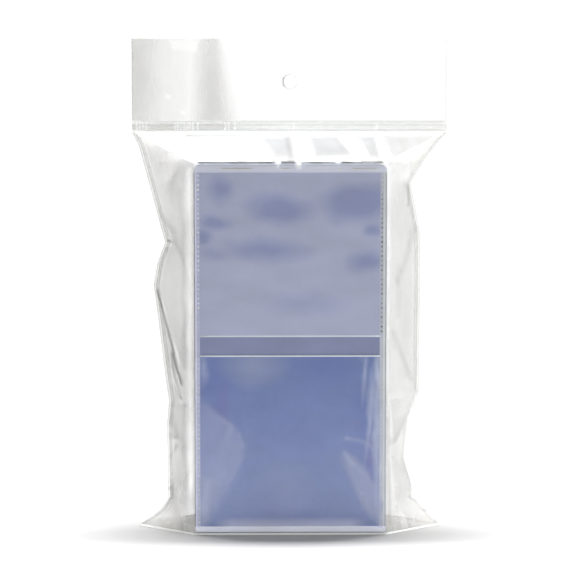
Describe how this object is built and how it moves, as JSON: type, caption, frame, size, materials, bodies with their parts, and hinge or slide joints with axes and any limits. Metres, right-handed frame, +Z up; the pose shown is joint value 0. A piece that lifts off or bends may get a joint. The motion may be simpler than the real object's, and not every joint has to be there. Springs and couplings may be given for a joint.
{
  "type": "coin flip pack",
  "caption": "Stack of clear vinyl double-pocket coin flips in a press-to-close hanging bag whose mouth parts as one flip is drawn out.",
  "frame": {"origin": "middle of the base that the pack stands on", "axes": "+Z up to the header's top edge, the front of the pack faces -Y, +X to the right seen from the front"},
  "size_m": [0.0848, 0.0256, 0.1325],
  "materials": {
    "film": "clear polypropylene film with soft creases",
    "film_weld": "heat-welded film, slightly milky",
    "zip": "translucent extruded zip strip",
    "vinyl": "soft clear vinyl with a blue cast in the stack"
  },
  "bodies": {
    "bag": {"front_film": "film", "rear_film": "film", "side_seams": "film_weld", "bottom_seam": "film_weld", "flip_01": "vinyl", "flip_02": "vinyl", "flip_03": "vinyl", "flip_04": "vinyl", "flip_05": "vinyl", "flip_06": "vinyl", "flip_07": "vinyl", "flip_08": "vinyl", "flip_09": "vinyl", "flip_10": "vinyl", "flip_11": "vinyl", "flip_12": "vinyl", "flip_13": "vinyl", "flip_14": "vinyl", "flip_15": "vinyl", "flip_16": "vinyl", "flip_17": "vinyl", "flip_18": "vinyl", "flip_19": "vinyl", "flip_20": "vinyl", "flip_21": "vinyl", "flip_22": "vinyl", "flip_23": "vinyl", "flip_24": "vinyl", "flip_26": "vinyl", "flip_27": "vinyl", "flip_28": "vinyl", "flip_29": "vinyl", "flip_30": "vinyl", "flip_31": "vinyl", "flip_32": "vinyl", "flip_33": "vinyl", "flip_34": "vinyl", "flip_35": "vinyl", "flip_36": "vinyl", "flip_37": "vinyl", "flip_38": "vinyl", "flip_39": "vinyl", "flip_40": "vinyl", "flip_41": "vinyl", "flip_42": "vinyl", "flip_43": "vinyl", "flip_44": "vinyl", "flip_45": "vinyl", "flip_46": "vinyl", "flip_47": "vinyl", "flip_48": "vinyl", "flip_49": "vinyl", "flip_50": "vinyl"},
    "drawn_flip": {"flip_25": "vinyl"},
    "front_lip": {"front_mouth_film": "film", "zip_rib_strip": "zip"},
    "rear_lip": {"rear_mouth_film": "film", "zip_socket_strip": "zip"}
  },
  "joints": [
    {"name": "flip_pull", "type": "slide", "parent": "bag", "child": "drawn_flip", "axis": [0, 0, 1], "range_m": [0, 0.1]},
    {"name": "front_lip_turn", "type": "hinge", "parent": "bag", "child": "front_lip", "pos_m": [0, -0.01278, 0.09902], "axis": [1, 0, 0], "range_deg": [0, 52]},
    {"name": "rear_lip_turn", "type": "hinge", "parent": "bag", "child": "rear_lip", "pos_m": [0, 0.01278, 0.09902], "axis": [-1, 0, 0], "range_deg": [0, 52], "deforming": ["zip_socket_strip"]}
  ],
  "couplings": [
    {"joint": "front_lip_turn", "follows": "flip_pull", "rad_per_m": 9},
    {"joint": "rear_lip_turn", "follows": "flip_pull", "rad_per_m": 9}
  ]
}
